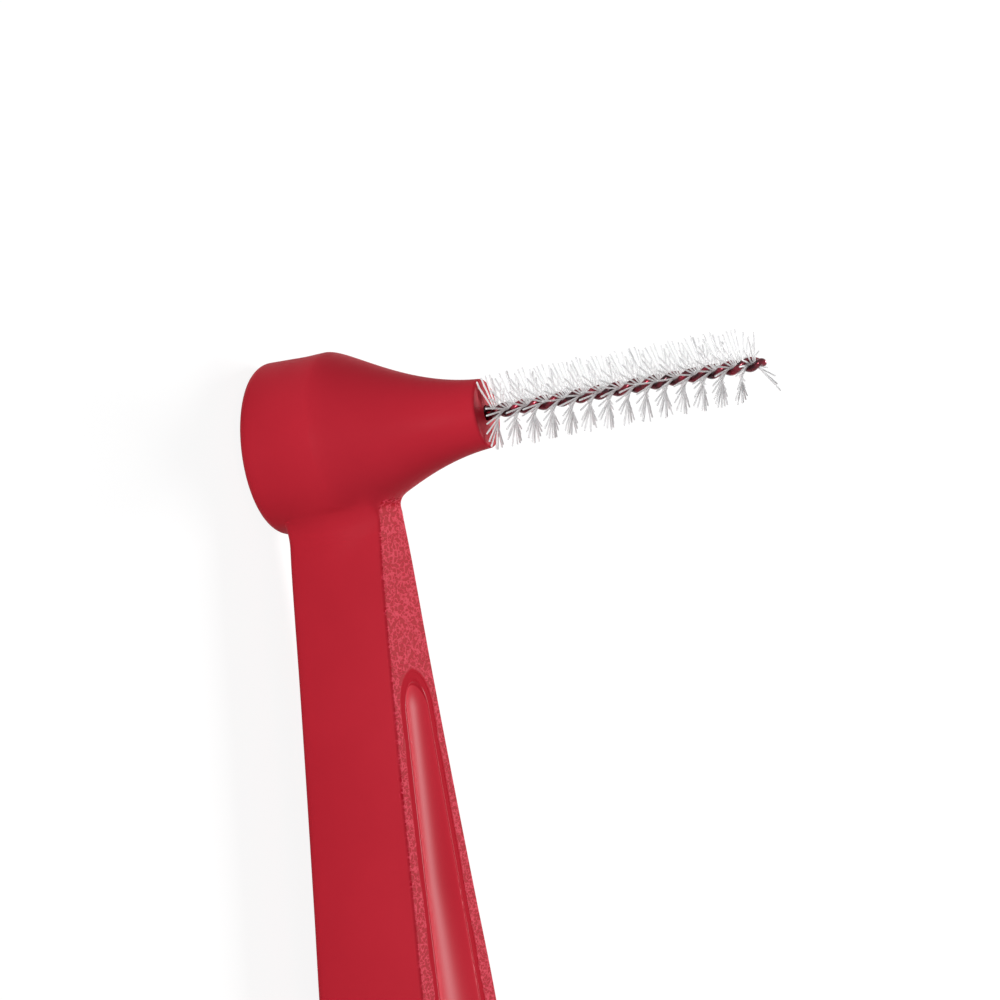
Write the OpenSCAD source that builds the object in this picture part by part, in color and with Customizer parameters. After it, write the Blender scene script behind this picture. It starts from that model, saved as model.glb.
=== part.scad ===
// Angled interdental brush, lying on its back.
// X runs down the handle from the head, Z is up and is the way the brush points, Y is across.

/* [Head] */
// Radius of the snout where the brush leaves it
snout_r = 1.26; // [1:0.02:1.6]
// Radius of the barrel at its fullest
barrel_r = 3.2; // [2.8:0.02:3.8]
// Radius of the barrel at its back rim
rim_r = 3.12; // [2.7:0.02:3.4]
// Length of the tapering snout, from its end to the full barrel
snout_l = 5.7; // [5:0.1:8]
// Length of the barrel, from the snout to the back rim
barrel_l = 2.3; // [1.7:0.1:3]
// Length of the barrel that leans with the brush; the rest is square to the handle
elbow_l = 0.8; // [0.3:0.05:1.5]
// Rounding of the back rim
rim_round = 0.48; // [0.2:0.02:0.6]
// Height of the domed back beyond the rim
dome_h = 0.72; // [0.68:0.02:1.4]
// Rounding of the edge of the snout's end
lip_round = 0.12; // [0.05:0.01:0.2]
// Angle by which the brush leans away from square to the handle, in degrees
brush_tilt = 2.84; // [0:0.02:5]

/* [Neck] */
// Distance from the snout's end back to the front face of the neck
front_set = 4.13; // [3.6:0.01:5]
// Depth of the neck, front to back
neck_d = 3.52; // [3:0.02:4.2]
// Width of the neck just under the head
neck_w = 2.4; // [1.8:0.05:3]
// Distance from the brush axis to the narrowest part of the neck
neck_at = 2.7; // [2.5:0.1:3.2]
// Width of the throat, where the even taper starts
throat_w = 3.38; // [3.1:0.02:4.5]
// Distance from the brush axis to the throat
throat_at = 5; // [4.5:0.1:8]
// Radius of the fillet between snout and front face
neck_fillet = 1; // [0.6:0.05:1.3]
// Radius of the fillets between snout and sides
neck_cheek = 2; // [1:0.1:2.5]
// Radius of the fillets between barrel and sides
neck_sweep = 3.5; // [1:0.1:6]
// Radius of the neck's long edges at the back
neck_edge_r = 0.35; // [0.15:0.01:0.5]
// Outward swell of the neck's sides
neck_crown = 0.1; // [0.05:0.01:0.15]

/* [Shank] */
// Distance from the brush axis to the middle of the shank
shank_at = 21; // [18:0.5:26]
// Width of the shank
shank_w = 7.4; // [5.5:0.1:8]
// Rise of the shank's front face above the neck's
shank_rise = 0.355; // [0.1:0.005:0.6]
// Drop of the shank's back face below the neck's
shank_drop = 0.25; // [0.1:0.05:0.6]
// Distance from the brush axis to where the front face starts to rise
front_bend_at = 4; // [3.5:0.5:15]
// Distance from the brush axis to where the back face starts to drop
back_bend_at = 4.5; // [4:0.5:14]

/* [Grip] */
// Length of the handle, from the brush axis to its lower end
handle_l = 147.2; // [140:0.2:170]
// Width of the grip
grip_w = 9.6; // [8:0.1:11]
// Depth of the grip, front to back
grip_d = 5.7; // [5.5:0.1:7]
// Distance from the brush axis to the widest part of the grip
grip_at = 40; // [34:0.5:46]
// Distance from the brush axis to where the back meets the surface it lies on
rest_at = 52; // [48:1:60]
// Width of the waist below the grip
waist_w = 8; // [6:0.1:9]
// Depth of the waist
waist_d = 5; // [4.5:0.1:6]
// Distance from the brush axis to the waist
waist_at = 92; // [80:1:110]
// Width of the tail
tail_w = 8.8; // [7:0.1:10]
// Depth of the tail
tail_d = 4.6; // [4:0.1:6]
// Distance from the brush axis to the tail
tail_at = 128; // [115:1:132]
// Length of the rounded end, seen from the front
tail_round = 4.6; // [3:0.1:6]
// Rounding of the end, seen from the side
tail_edge = 1.4; // [0.6:0.1:1.8]
// Radius of the long edges at the front
front_edge_r = 0.14; // [0.1:0.01:0.5]
// Radius of the long edges at the back
back_edge_r = 1.1; // [0.5:0.05:1.6]
// Outward swell of the grip's sides
side_crown = 0.3; // [0.1:0.02:0.5]

/* [Thumb recess] */
// Distance from the brush axis to the recess's upper end
recess_at = 8.87; // [8:0.01:12]
// Length of the recess
recess_l = 54; // [45:1:60]
// Opening of the recess at its upper end
recess_top_w = 2.75; // [2:0.05:3]
// Opening of the recess on the shank
recess_shank_w = 4.7; // [4:0.1:5]
// Opening of the recess on the grip
recess_grip_w = 6.6; // [5.5:0.1:7]
// Length of the rounding at the recess's upper end
recess_top_round = 1.3; // [0.8:0.05:2]
// Length of the rounding at the recess's lower end
recess_foot_round = 4; // [2:0.1:5]
// Depth of the recess
recess_depth = 0.5; // [0.3:0.05:0.8]
// Run of the slope at its two ends, from the lip to full depth
recess_end_run = 1.3; // [0.8:0.05:1.6]

/* [Stem] */
// Radius of the steel wire
wire_r = 0.085; // [0.06:0.005:0.09]
// Thickness of the plastic coating on the wire
coat_wall = 0.036; // [0.025:0.001:0.038]
// Clearance between the wire and its coating
coat_fit = 0.004; // [0.002:0.001:0.006]
// Thickness of the layer of filaments nipped between the two legs of wire
nip_t = 0.04; // [0.03:0.002:0.06]
// Clearance between that layer and each leg
nip_fit = 0.005; // [0.004:0.001:0.02]
// Length of stem for one full turn of the twist, which is left-handed
twist_pitch = 1.44; // [1.3:0.02:2]
// Direction of the legs at the snout's end, in degrees
twist_start = 10; // [0:1:180]
// Length of stem anchored in the head
anchor_l = 5.2; // [4:0.1:6]
// Height of the fold at the tip, where one leg turns back as the other
fold_h = 0.17; // [0.15:0.01:0.24]
// Length of bare stem between the last filaments and the fold
tip_bare = 0.08; // [0.04:0.01:0.5]
// Clearance round the stem in the head
stem_fit = 0.02; // [0.01:0.01:0.05]
// Clearance beyond the stem's tail in the head
tail_fit = 0.1; // [0.05:0.05:0.3]

/* [Filaments] */
// Radius of the brush
brush_r = 1.4; // [1.2:0.05:2.5]
// Length of stem that holds filaments
brush_l = 10.1; // [10:0.1:14]
// Groups of filaments, of about half a turn each
tuft_count = 15; // [10:1:15]
// Filaments nipped in each group
filaments_per_tuft = 12; // [10:1:12]
// Distance from the snout's end to the first filaments
tuft_start = 0.25; // [0.24:0.01:0.6]
// Radius of one filament
filament_r = 0.03; // [0.02:0.002:0.03]
// Angle by which the filaments lean back towards the head, in degrees
filament_lean = 7; // [0:0.5:7]
// Width of the nipped layer
nip_w = 0.2; // [0.18:0.01:0.22]

/* [Hidden] */
handle_red = [0.72, 0.16, 0.21];
coat_red = [0.36, 0.03, 0.09];
steel_grey = [0.7, 0.71, 0.73];
nylon_white = [0.93, 0.93, 0.94];

overrun = 0.5;
round_fn = 96;

// Shares that shape the snout's curve, from its end (0) to the full barrel (1)
snout_lead_share = 0.52;
snout_swell_share = 0.118;
snout_shoulder_share = 0.88;
// Where the leaning barrel runs into the square one: how deep, and how much wider the square one is
elbow_lap = 0.3;
elbow_step = 0.016;
// Shares of the fillet's radius: its foot below the snout, and how far round it goes
fillet_foot_share = 0.61;
fillet_reach_share = 0.87;
// Share of the neck's place at which the handle is rooted inside the head
root_share = 0.45;
// Shares of the half width or half depth that roundings may take
edge_limit_share = 0.9;
crown_limit_share = 0.3;
foot_limit_share = 0.94;
// Widths at the very ends, as shares of the tail's and of the recess's own
end_w_share = 0.94;
end_d_share = 0.94;
recess_end_w_share = 0.9;
// Depth of the recess's dished floor, from the lip to its middle
recess_dish_shares = [[0, 0], [0.11, 0.22], [0.25, 0.45], [0.45, 0.71], [0.7, 0.92], [1, 1]];
end_angle = 80;

lip_steps = 3;
snout_steps = 14;
rim_steps = 5;
dome_steps = 5;
neck_steps = 14;
shank_steps = 10;
grip_steps = 24;
end_steps = 7;
edge_steps = 4;
crown_steps = 4;
recess_round_steps = 7;
recess_long_steps = 14;
rings_per_turn = 10;
fold_steps = 8;
wire_sides = 6;
strand_sides = 3;

function arc(c, r, from, to, n) =
    [for (i = [0:n]) let (a = from + (to - from) * i / n) c + r * [cos(a), sin(a)]];

function bezier(p, u) =
    pow(1 - u, 3) * p[0] + 3 * u * pow(1 - u, 2) * p[1] + 3 * u * u * (1 - u) * p[2] + u * u * u * p[3];

function clamp(u) = min(1, max(0, u));

// A smooth curve through [place, value] stations that never swings past them
function secant(s, i) = (s[i + 1][1] - s[i][1]) / (s[i + 1][0] - s[i][0]);
function slope(s, i) =
    i == 0 ? secant(s, 0)
    : i == len(s) - 1 ? secant(s, i - 1)
    : let (a = secant(s, i - 1), b = secant(s, i)) a * b > 0 ? 2 * a * b / (a + b) : 0;
function span(s, at, i = 0) = i >= len(s) - 2 || at < s[i + 1][0] ? i : span(s, at, i + 1);
function along(s, at) =
    let (i = span(s, at), w = s[i + 1][0] - s[i][0], u = clamp((at - s[i][0]) / w))
    s[i][1] * (1 + 2 * u) * pow(1 - u, 2) + s[i + 1][1] * u * u * (3 - 2 * u)
    + w * u * (1 - u) * (slope(s, i) * (1 - u) - slope(s, i + 1) * u);

// Faces of a skin over equal rings of points, each ring running anticlockwise about the way ahead
function skin(rings, sides, from = 0, inward = false) =
    [for (i = [0:rings - 2], j = [0:sides - 1], half = [0, 1])
        let (
            a = from + i * sides + j,
            b = from + i * sides + (j + 1) % sides,
            t = half == 0 ? [a, a + sides, b] : [b, a + sides, b + sides]
        )
        inward ? [t[0], t[2], t[1]] : t];
function near_cap(sides) = [for (j = [0:sides - 1]) j];
function far_cap(rings, sides) = [for (j = [sides - 1:-1:0]) (rings - 1) * sides + j];
function join(lists) = [for (l = lists, p = l) p];

module loft(rings) {
    sides = len(rings[0]);
    polyhedron(
        points = join(rings),
        faces = concat(skin(len(rings), sides), [near_cap(sides)], [far_cap(len(rings), sides)])
    );
}

// The head's outline as [radius, distance towards the tip], from the snout's end to the back
snout_curve = [
    [snout_r, -lip_round],
    [snout_r + snout_swell_share * (barrel_r - snout_r), -snout_lead_share * snout_l],
    [barrel_r, -snout_shoulder_share * snout_l],
    [barrel_r, -snout_l],
];
snout_points = [for (i = [0:snout_steps]) bezier(snout_curve, i / snout_steps)];
elbow_z = -(snout_l + elbow_l);
function barrel_at(z) = barrel_r + (rim_r - barrel_r) * (-z - snout_l) / barrel_l;
leaning_outline = concat(
    [[0, 0]],
    arc([snout_r - lip_round, -lip_round], lip_round, 90, 15, lip_steps),
    snout_points,
    [[barrel_at(elbow_z - elbow_lap), elbow_z - elbow_lap], [0, elbow_z - elbow_lap]]
);

rim_z = -(snout_l + barrel_l);
rim_c = rim_r - rim_round;
dome_r = (dome_h * dome_h + rim_c * rim_c - rim_round * rim_round) / (2 * (dome_h - rim_round));
dome_edge = asin(rim_c / (dome_r - rim_round));
square_outline = concat(
    [[0, elbow_z], [barrel_at(elbow_z) + elbow_step, elbow_z]],
    arc([rim_c, rim_z], rim_round, 0, dome_edge - 90, rim_steps),
    [for (i = [1:dome_steps]) let (a = dome_edge * (1 - i / dome_steps))
        [dome_r * sin(a), rim_z - dome_h + dome_r * (1 - cos(a))]]
);

// Place of the elbow from the snout's end, and the head's reach above the brush axis and below that end
elbow_x = -elbow_z * sin(brush_tilt);
elbow_lift = -elbow_z * (1 - cos(brush_tilt));
head_top = max(concat(
    [for (p = leaning_outline) p[0] * cos(brush_tilt) + p[1] * sin(brush_tilt)],
    [for (p = square_outline) p[0] - elbow_x]
));
head_back = max([for (p = square_outline) -p[1] - elbow_lift]);
axis_x = head_top - (handle_l + head_top) / 2;
axis_z = head_back;

// Where the fillets between head and neck start and end, from the brush axis
snout_under_r = lookup(front_set, [for (p = snout_points) [-p[1], p[0]]]);
snout_under = snout_under_r * cos(brush_tilt) + front_set * sin(brush_tilt);
front_fillet_at = snout_under + fillet_foot_share * neck_fillet;
fillet_in = front_fillet_at - fillet_reach_share * neck_fillet;

// How far a fillet has spread, and how far one at the side runs down from the head's middle
function flare(r, d) = r - sqrt(r * r - d * d);
function side_run(r, head_r) = sqrt(pow(head_r + r, 2) - pow(neck_w / 2 + r, 2));
function side_flare(r, head_r, at) =
    let (run = side_run(r, head_r)) flare(r, min(run * r / (head_r + r), max(0, elbow_x + run - at)));
sweep_at = elbow_x + side_run(neck_sweep, barrel_r);

function front_turn(at) = clamp((front_fillet_at - at) / (fillet_reach_share * neck_fillet));
function front_flare(at) = flare(neck_fillet, fillet_reach_share * neck_fillet * front_turn(at));

// Stations of the handle, as [distance from the brush axis, value]
neck_front = axis_z - front_set;
neck_back = neck_front - neck_d;
belly_at = grip_at + tail_round + recess_foot_round;
width_stations = [
    [neck_at, neck_w], [throat_at, throat_w], [shank_at, shank_w], [grip_at, grip_w],
    [waist_at, waist_w], [tail_at, tail_w], [handle_l, end_w_share * tail_w],
];
front_stations = [
    [neck_at, neck_front], [front_bend_at, neck_front], [shank_at, neck_front + shank_rise],
    [grip_at, grip_d], [waist_at, waist_d], [tail_at, tail_d], [handle_l, end_d_share * tail_d],
];
back_stations = [
    [neck_at, neck_back], [back_bend_at, neck_back], [shank_at, neck_back - shank_drop],
    [rest_at, 0], [handle_l, 0],
];
back_edge_stations = [
    [neck_at, neck_edge_r], [shank_at, neck_edge_r], [grip_at, back_edge_r], [handle_l, back_edge_r],
];
crown_stations = [
    [neck_at, neck_crown], [shank_at, neck_crown], [grip_at, side_crown], [handle_l, side_crown],
];

// How far the rounded end has drawn in at a place, from 1 to 0
function end_draw(at, length) = sqrt(1 - pow(sin(end_angle) * clamp((at - handle_l + length) / length), 2));

function handle_ring(at) =
    let (
        cheek = side_flare(neck_cheek, snout_under_r, at),
        swept = side_flare(neck_sweep, barrel_r, at) - cheek,
        hw = (along(width_stations, at) / 2 + cheek) * end_draw(at, tail_round),
        pinch = tail_edge * (1 - end_draw(at, tail_edge)),
        back = along(back_stations, at) + pinch,
        front = along(front_stations, at) - pinch,
        crown = min(along(crown_stations, at), crown_limit_share * hw),
        limit = edge_limit_share * min(hw - crown, (front - back) / 2),
        back_r = min(along(back_edge_stations, at), limit),
        front_r = min(front_edge_r, limit) * (1 - front_turn(at)) + limit * front_turn(at),
        lift = front_flare(at),
        low = back + back_r,
        high = front + lift - front_r,
        half = concat(
            arc([hw + swept - crown - back_r, low], back_r, -90, 0, edge_steps),
            [for (i = [1:crown_steps - 1]) let (u = i / crown_steps)
                [
                    hw + swept * (1 - u * u * (3 - 2 * u)) - crown * pow(2 * u - 1, 2),
                    low + u * (high - low)
                ]],
            arc([hw - crown - front_r, high], front_r, 0, 90, edge_steps)
        )
    )
    [for (side = [1, -1], i = [0:len(half) - 1])
        let (p = half[side > 0 ? i : len(half) - 1 - i]) [axis_x + at, side * p[0], p[1]]];

// Places of the handle's rings
function steps(from, to, n) = [for (i = [0:n - 1]) from + (to - from) * i / n];
tail_start = handle_l - tail_round;
ring_places = concat(
    [root_share * neck_at],
    steps(fillet_in, sweep_at, neck_steps),
    steps(sweep_at, shank_at, shank_steps),
    steps(shank_at, tail_start, grip_steps),
    [for (i = [0:end_steps]) tail_start + tail_round * sin(end_angle * i / end_steps) / sin(end_angle)]
);

module handle_body() {
    loft([for (at = ring_places) handle_ring(at)]);
}

// Places its children on the brush axis: origin at the snout's end, Z towards the tip
module on_brush_axis() {
    translate([axis_x, 0, axis_z]) rotate([0, -brush_tilt, 0]) children();
}

module head_body() {
    on_brush_axis() rotate_extrude($fn = round_fn) polygon(leaning_outline);
    translate([axis_x + elbow_x, 0, axis_z + elbow_lift])
        rotate_extrude($fn = round_fn) polygon(square_outline);
}

bore_r = 2 * (wire_r + coat_fit + coat_wall) + nip_t / 2 + nip_fit + stem_fit;

module stem_bore() {
    on_brush_axis() translate([0, 0, -anchor_l - tail_fit])
        cylinder(r = bore_r, h = anchor_l + tail_fit + overrun, $fn = round_fn);
}

recess_end = recess_at + recess_l;
recess_stations = [
    [recess_at, recess_top_w / 2], [shank_at, recess_shank_w / 2], [grip_at, recess_grip_w / 2],
    [recess_end, recess_end_w_share * recess_grip_w / 2],
];
recess_places = concat(
    [for (i = [1:recess_round_steps])
        recess_at + recess_top_round * (1 - cos(90 * i / recess_round_steps))],
    [for (i = [1:recess_long_steps - 1])
        recess_at + recess_top_round
        + (recess_l - recess_top_round - recess_foot_round) * i / recess_long_steps],
    [for (i = [recess_round_steps:-1:1])
        recess_end - recess_foot_round * (1 - cos(90 * i / recess_round_steps))]
);

function rounded(u) = sqrt(1 - pow(1 - clamp(u), 2));

function recess_ring(at) =
    let (
        hw = along(recess_stations, at)
            * rounded((at - recess_at) / recess_top_round) * rounded((recess_end - at) / recess_foot_round),
        depth = recess_depth
            * sin(90 * clamp((at - recess_at) / recess_end_run))
            * sin(90 * clamp((recess_end - at) / recess_end_run)),
        face = along(front_stations, at),
        half = concat(
            [for (i = [len(recess_dish_shares) - 1:-1:0]) let (s = recess_dish_shares[i])
                [hw * (1 - s[0] * foot_limit_share), face - s[1] * depth]],
            [[hw, face + overrun]]
        )
    )
    [for (side = [1, -1], i = [0:len(half) - 1])
        let (p = half[side > 0 ? i : len(half) - 1 - i]) [axis_x + at, side * p[0], p[1]]];

module recess_cut() {
    loft([for (at = recess_places) recess_ring(at)]);
}

module handle() {
    color(handle_red) difference() {
        union() {
            handle_body();
            head_body();
        }
        recess_cut();
        stem_bore();
    }
}

// The stem: one wire, folded at the tip, whose two legs are twisted together
coat_in_r = wire_r + coat_fit;
coat_r = coat_in_r + coat_wall;
leg_offset = coat_r + nip_t / 2 + nip_fit;
stem_tip = tuft_start + brush_l + tip_bare;
leg_steps = ceil(rings_per_turn * (anchor_l + stem_tip) / twist_pitch);

// Stations of the wire's route in the turning plane of its legs, as [across, along, and the way out]
leg_route = [for (i = [0:leg_steps - 1]) [leg_offset, -anchor_l + (anchor_l + stem_tip) * i / leg_steps, 1, 0]];
fold_route = [for (i = [0:fold_steps]) let (a = 180 * i / fold_steps)
    [leg_offset * cos(a), stem_tip + fold_h * sin(a), fold_h * cos(a), leg_offset * sin(a)]];
back_route = [for (i = [leg_steps - 1:-1:0]) [-leg_offset, leg_route[i][1], -1, 0]];
wire_route = concat(leg_route, fold_route, back_route);

function twist_at(z) = twist_start - 360 * z / twist_pitch;
function turned(across, along_axis, z) =
    let (a = twist_at(z)) [across * cos(a), across * sin(a), along_axis];
wire_points = [for (s = wire_route) turned(s[0], s[1], s[1])];
wire_out = [for (s = wire_route) turned(s[2], s[3], s[1])];

function unit(v) = v / norm(v);
function heading(points, i) = unit(points[min(i + 1, len(points) - 1)] - points[max(i - 1, 0)]);

function wire_ring(i, r) =
    let (
        ahead = heading(wire_points, i),
        side = unit(cross(ahead, wire_out[i])),
        out = cross(side, ahead)
    )
    [for (j = [0:wire_sides - 1]) let (a = 360 * j / wire_sides)
        wire_points[i] + r * (cos(a) * out + sin(a) * side)];

module stem_wire() {
    color(steel_grey) on_brush_axis()
        loft([for (i = [0:len(wire_points) - 1]) wire_ring(i, wire_r)]);
}

module stem_coating() {
    rings = len(wire_points);
    sides = wire_sides;
    inner = rings * sides;
    last = (rings - 1) * sides;
    color(coat_red) on_brush_axis() polyhedron(
        points = join([for (r = [coat_r, coat_in_r], i = [0:rings - 1]) wire_ring(i, r)]),
        faces = concat(
            skin(rings, sides),
            skin(rings, sides, inner, true),
            [for (j = [0:sides - 1], half = [0, 1]) let (k = (j + 1) % sides)
                half == 0 ? [j, k, inner + k] : [j, inner + k, inner + j]],
            [for (j = [0:sides - 1], half = [0, 1]) let (k = (j + 1) % sides)
                half == 0 ? [last + k, last + j, inner + last + k]
                : [last + j, inner + last + j, inner + last + k]]
        )
    );
}

// The filaments stick out both ways, square to the legs that nip them
function nip_ring(z) =
    let (a = twist_at(z) + 90, u = [cos(a), sin(a), 0], v = [-sin(a), cos(a), 0])
    [for (c = [[1, 1], [-1, 1], [-1, -1], [1, -1]])
        c[0] * nip_w / 2 * u + c[1] * nip_t / 2 * v + [0, 0, z]];

function strand_ring(z, a, reach) =
    let (
        ahead = [cos(a) * cos(filament_lean), sin(a) * cos(filament_lean), -sin(filament_lean)],
        side = [-sin(a), cos(a), 0],
        up = cross(ahead, side)
    )
    [for (j = [0:strand_sides - 1]) let (b = 360 * j / strand_sides)
        [0, 0, z] + reach / cos(filament_lean) * ahead + filament_r * (cos(b) * side + sin(b) * up)];

strand_root = nip_w / 2 - filament_r;

module strand(z, way) {
    loft([for (reach = [strand_root, brush_r]) strand_ring(z, twist_at(z) + way, reach)]);
}

tuft_l = brush_l / tuft_count;
nip_steps = ceil(rings_per_turn * tuft_l / twist_pitch);

module filament_tuft(number) {
    from = tuft_start + number * tuft_l;
    gap = tuft_l / filaments_per_tuft;
    color(nylon_white) on_brush_axis() {
        loft([for (i = [0:nip_steps]) nip_ring(from + tuft_l * i / nip_steps)]);
        for (i = [0:filaments_per_tuft - 1], way = [90, -90]) strand(from + (i + 0.5) * gap, way);
    }
}

function tuft_name(number) = str("filament_tuft_", number < 9 ? "0" : "", number + 1);

handle();
stem_wire();
stem_coating();
for (number = [0:tuft_count - 1])
    filament_tuft(number);
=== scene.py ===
"""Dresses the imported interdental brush: handle, twisted stem, filaments, studio and camera.

Sizes in the classes are millimetres and degrees. X runs down the handle from the head, Z is up and is the
way the brush points, and Y is across. Meshes are made in millimetres and scaled to metres when they settle
on the frame.
"""

import logging
import math
import random
from collections.abc import Iterable, Sequence
from dataclasses import dataclass, field
from enum import Enum
from functools import cached_property

import bmesh
import bpy
from mathutils import Matrix, Vector
from mathutils.bvhtree import BVHTree


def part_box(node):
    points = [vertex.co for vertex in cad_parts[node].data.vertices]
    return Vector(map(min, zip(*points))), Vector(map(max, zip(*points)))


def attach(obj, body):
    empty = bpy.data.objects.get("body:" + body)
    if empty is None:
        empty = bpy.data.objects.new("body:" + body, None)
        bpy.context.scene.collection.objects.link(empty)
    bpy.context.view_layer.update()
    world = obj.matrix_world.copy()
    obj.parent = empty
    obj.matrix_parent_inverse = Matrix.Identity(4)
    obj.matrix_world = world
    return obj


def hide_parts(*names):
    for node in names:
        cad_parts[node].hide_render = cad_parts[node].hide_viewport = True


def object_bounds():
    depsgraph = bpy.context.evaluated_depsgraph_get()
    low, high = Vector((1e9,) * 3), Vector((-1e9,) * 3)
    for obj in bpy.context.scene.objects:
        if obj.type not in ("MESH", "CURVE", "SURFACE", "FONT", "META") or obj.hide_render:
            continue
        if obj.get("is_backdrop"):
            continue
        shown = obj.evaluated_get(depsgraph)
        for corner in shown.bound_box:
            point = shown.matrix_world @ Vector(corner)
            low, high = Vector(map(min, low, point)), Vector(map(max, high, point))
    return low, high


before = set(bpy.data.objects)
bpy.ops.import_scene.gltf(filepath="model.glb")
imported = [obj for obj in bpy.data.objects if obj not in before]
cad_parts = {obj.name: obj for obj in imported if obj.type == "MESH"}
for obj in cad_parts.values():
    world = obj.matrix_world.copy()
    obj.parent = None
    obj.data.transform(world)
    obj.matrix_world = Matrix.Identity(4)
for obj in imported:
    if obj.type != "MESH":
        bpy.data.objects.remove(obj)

CAD_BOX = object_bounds()
MM = 0.001
BODY = "root"
GRAIN_EDGE = "grain_margin"
DISH_EDGE = "dish_margin"
LOG = logging.getLogger("interdental_brush")

Pair = tuple[float, float]
Triple = tuple[float, float, float]
Colour = tuple[float, float, float, float]
Inputs = dict[str | int, object]
Socket = bpy.types.NodeSocket
Owner = bpy.types.Material | bpy.types.World
WHITE: Colour = (1, 1, 1, 1)
NOISE_MIDDLE = 0.5


class Slot(Enum):
    """The record's material slots."""

    HANDLE = "handle_plastic"
    STEEL = "wire_steel"
    COATING = "wire_coating"
    NYLON = "filament_nylon"


class Cut(Enum):
    """Ways of joining two closed meshes."""

    JOIN = "UNION"
    CARVE = "DIFFERENCE"


# Curves


def clamp(share: float) -> float:
    """Returns share, held between 0 and 1."""
    return min(1.0, max(0.0, share))


def ease(share: float) -> float:
    """Returns a share from 0 to 1 with a smooth start and end."""
    return share * share * (3 - 2 * share)


def arc(centre: Pair, radius: float, start: float, end: float, steps: int) -> list[Pair]:
    """Draws an arc.

    Args:
        centre: middle of the circle.
        radius: its radius.
        start: angle of the first point, in degrees.
        end: angle of the last point, in degrees.
        steps: pieces that the arc is divided into.

    Returns:
        The points, both ends among them.
    """
    angles = (math.radians(start + (end - start) * i / steps) for i in range(steps + 1))
    return [(centre[0] + radius * math.cos(a), centre[1] + radius * math.sin(a)) for a in angles]


def round_section(centre: Vector, first: Vector, second: Vector, radius: float,
                  sides: int) -> list[Vector]:
    """Draws the round section of a wire or a filament.

    Args:
        centre: its middle.
        first: the way to its first point.
        second: the way to the point a quarter turn on.
        radius: its radius.
        sides: how many points it has.

    Returns:
        The points, all round.
    """
    angles = (math.tau * j / sides for j in range(sides))
    return [centre + radius * (math.cos(a) * first + math.sin(a) * second) for a in angles]


@dataclass(frozen=True)
class Stations:
    """A smooth curve through (place, value) stations that never swings past them."""

    marks: tuple[Pair, ...]

    def secant(self, i: int) -> float:
        """Returns the straight slope from station i to the next."""
        (x0, y0), (x1, y1) = self.marks[i], self.marks[i + 1]
        return (y1 - y0) / (x1 - x0)

    def slope(self, i: int) -> float:
        """Finds the curve's slope at a station.

        Args:
            i: the station's number.

        Returns:
            The slope, which is 0 where the curve turns back.
        """
        if i == 0:
            return self.secant(0)
        if i == len(self.marks) - 1:
            return self.secant(i - 1)
        a, b = self.secant(i - 1), self.secant(i)
        return 2 * a * b / (a + b) if a * b > 0 else 0.0

    def at(self, place: float) -> float:
        """Reads the curve.

        Args:
            place: distance along the curve's base line.

        Returns:
            The value there, or the end station's value beyond the ends.
        """
        last = len(self.marks) - 2
        i = next((k for k in range(last) if place < self.marks[k + 1][0]), last)
        (x0, y0), (x1, y1) = self.marks[i], self.marks[i + 1]
        w = x1 - x0
        u = clamp((place - x0) / w)
        return (y0 * (1 + 2 * u) * (1 - u) ** 2 + y1 * u * u * (3 - 2 * u)
                + w * u * (1 - u) * (self.slope(i) * (1 - u) - self.slope(i + 1) * u))


# Mesh tools


class Loft:
    """A skin over rings of points. The last ring's edges are extruded to each next ring's places."""

    def __init__(self, bm: bmesh.types.BMesh, ring: Sequence[Vector]) -> None:
        """Starts the skin.

        Args:
            bm: mesh that takes the skin.
            ring: the points of the first ring, in order.
        """
        self.bm = bm
        made = bmesh.ops.create_circle(bm, segments=len(ring), radius=1.0)
        self.verts: list[bmesh.types.BMVert] = made["verts"]
        self.first = self.verts
        self.place(ring)

    def place(self, ring: Sequence[Vector]) -> None:
        """Puts the open ring's vertices at the ring's points."""
        for vert, point in zip(self.verts, ring, strict=True):
            vert.co = point

    def rim(self, verts: Sequence[bmesh.types.BMVert]) -> list[bmesh.types.BMEdge]:
        """Returns the edges that join a ring's vertices, in order."""
        return [self.bm.edges.get((a, b)) for a, b in zip(verts, [*verts[1:], verts[0]])]

    def to(self, ring: Sequence[Vector]) -> None:
        """Draws the skin on to one more ring.

        Args:
            ring: its points, as many as the first ring has and in the same order.
        """
        made = bmesh.ops.extrude_edge_only(self.bm, edges=self.rim(self.verts))["geom"]
        fresh = {v for v in made if isinstance(v, bmesh.types.BMVert)}
        self.verts = [next(o for o in (e.other_vert(v) for e in v.link_edges) if o in fresh)
                      for v in self.verts]
        self.place(ring)

    def close(self) -> None:
        """Puts a face over the first ring and over the last."""
        for verts in (self.first, self.verts):
            bmesh.ops.contextual_create(self.bm, geom=self.rim(verts))


def loft(bm: bmesh.types.BMesh, rings: Iterable[Sequence[Vector]], closed: bool = True) -> Loft:
    """Draws a whole skin over rings.

    Args:
        bm: mesh that takes the skin.
        rings: the rings in order.
        closed: whether its ends get a face.

    Returns:
        The skin, with its first and last ring at hand.
    """
    rings = iter(rings)
    skin = Loft(bm, next(rings))
    for ring in rings:
        skin.to(ring)
    if closed:
        skin.close()
    return skin


def linked(name: str, data: bpy.types.ID) -> bpy.types.Object:
    """Makes an object of a mesh, a lamp or a camera, and links it to the scene.

    Args:
        name: the object's name.
        data: what it shows.

    Returns:
        The object.
    """
    made = bpy.data.objects.new(name, data)
    bpy.context.scene.collection.objects.link(made)
    return made


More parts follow.
